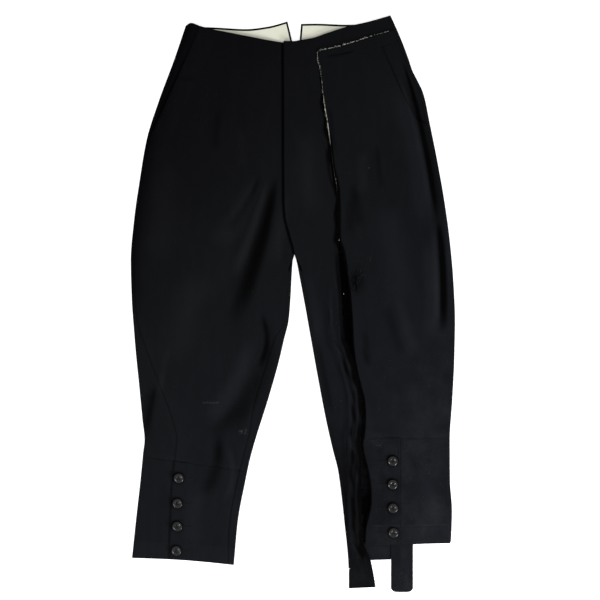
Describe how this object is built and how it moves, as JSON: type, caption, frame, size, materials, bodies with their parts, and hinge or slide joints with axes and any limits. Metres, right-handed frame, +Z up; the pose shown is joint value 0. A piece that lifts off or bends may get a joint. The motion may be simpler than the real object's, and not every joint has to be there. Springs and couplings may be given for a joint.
{
  "type": "trousers",
  "caption": "Cropped black wool trousers laid flat, with a lapped fly, slanted pockets, buttoned cuffs, a slashed left front and a rounded tab at its hem.",
  "frame": {"origin": "on the ground below the middle of the garment's outline", "axes": "+X to the wearer's left leg, +Y along the legs to the waist, +Z up from the surface it lies on"},
  "size_m": [0.5342, 0.9508, 0.0117],
  "materials": {
    "wool": "matte black wool twill",
    "facing": "plain cream cotton",
    "canvas": "frayed cream canvas",
    "button": "dark polished horn"
  },
  "bodies": {
    "root": {"back_right": "wool", "back_left": "wool", "front_right": "wool", "front_left_inner": "wool", "front_left_outer": "wool", "pocket_side_right": "wool", "pocket_side_left": "wool", "facing_right": "facing", "facing_left": "facing", "cuff_right_front": "wool", "cuff_right_back": "wool", "cuff_left_front": "wool", "cuff_left_back": "wool", "strap_tab": "wool", "canvas_edge": "canvas", "button_right_1": "button", "button_right_2": "button", "button_right_3": "button", "button_right_4": "button", "button_left_1": "button", "button_left_2": "button", "button_left_3": "button", "button_left_4": "button"}
  },
  "joints": []
}
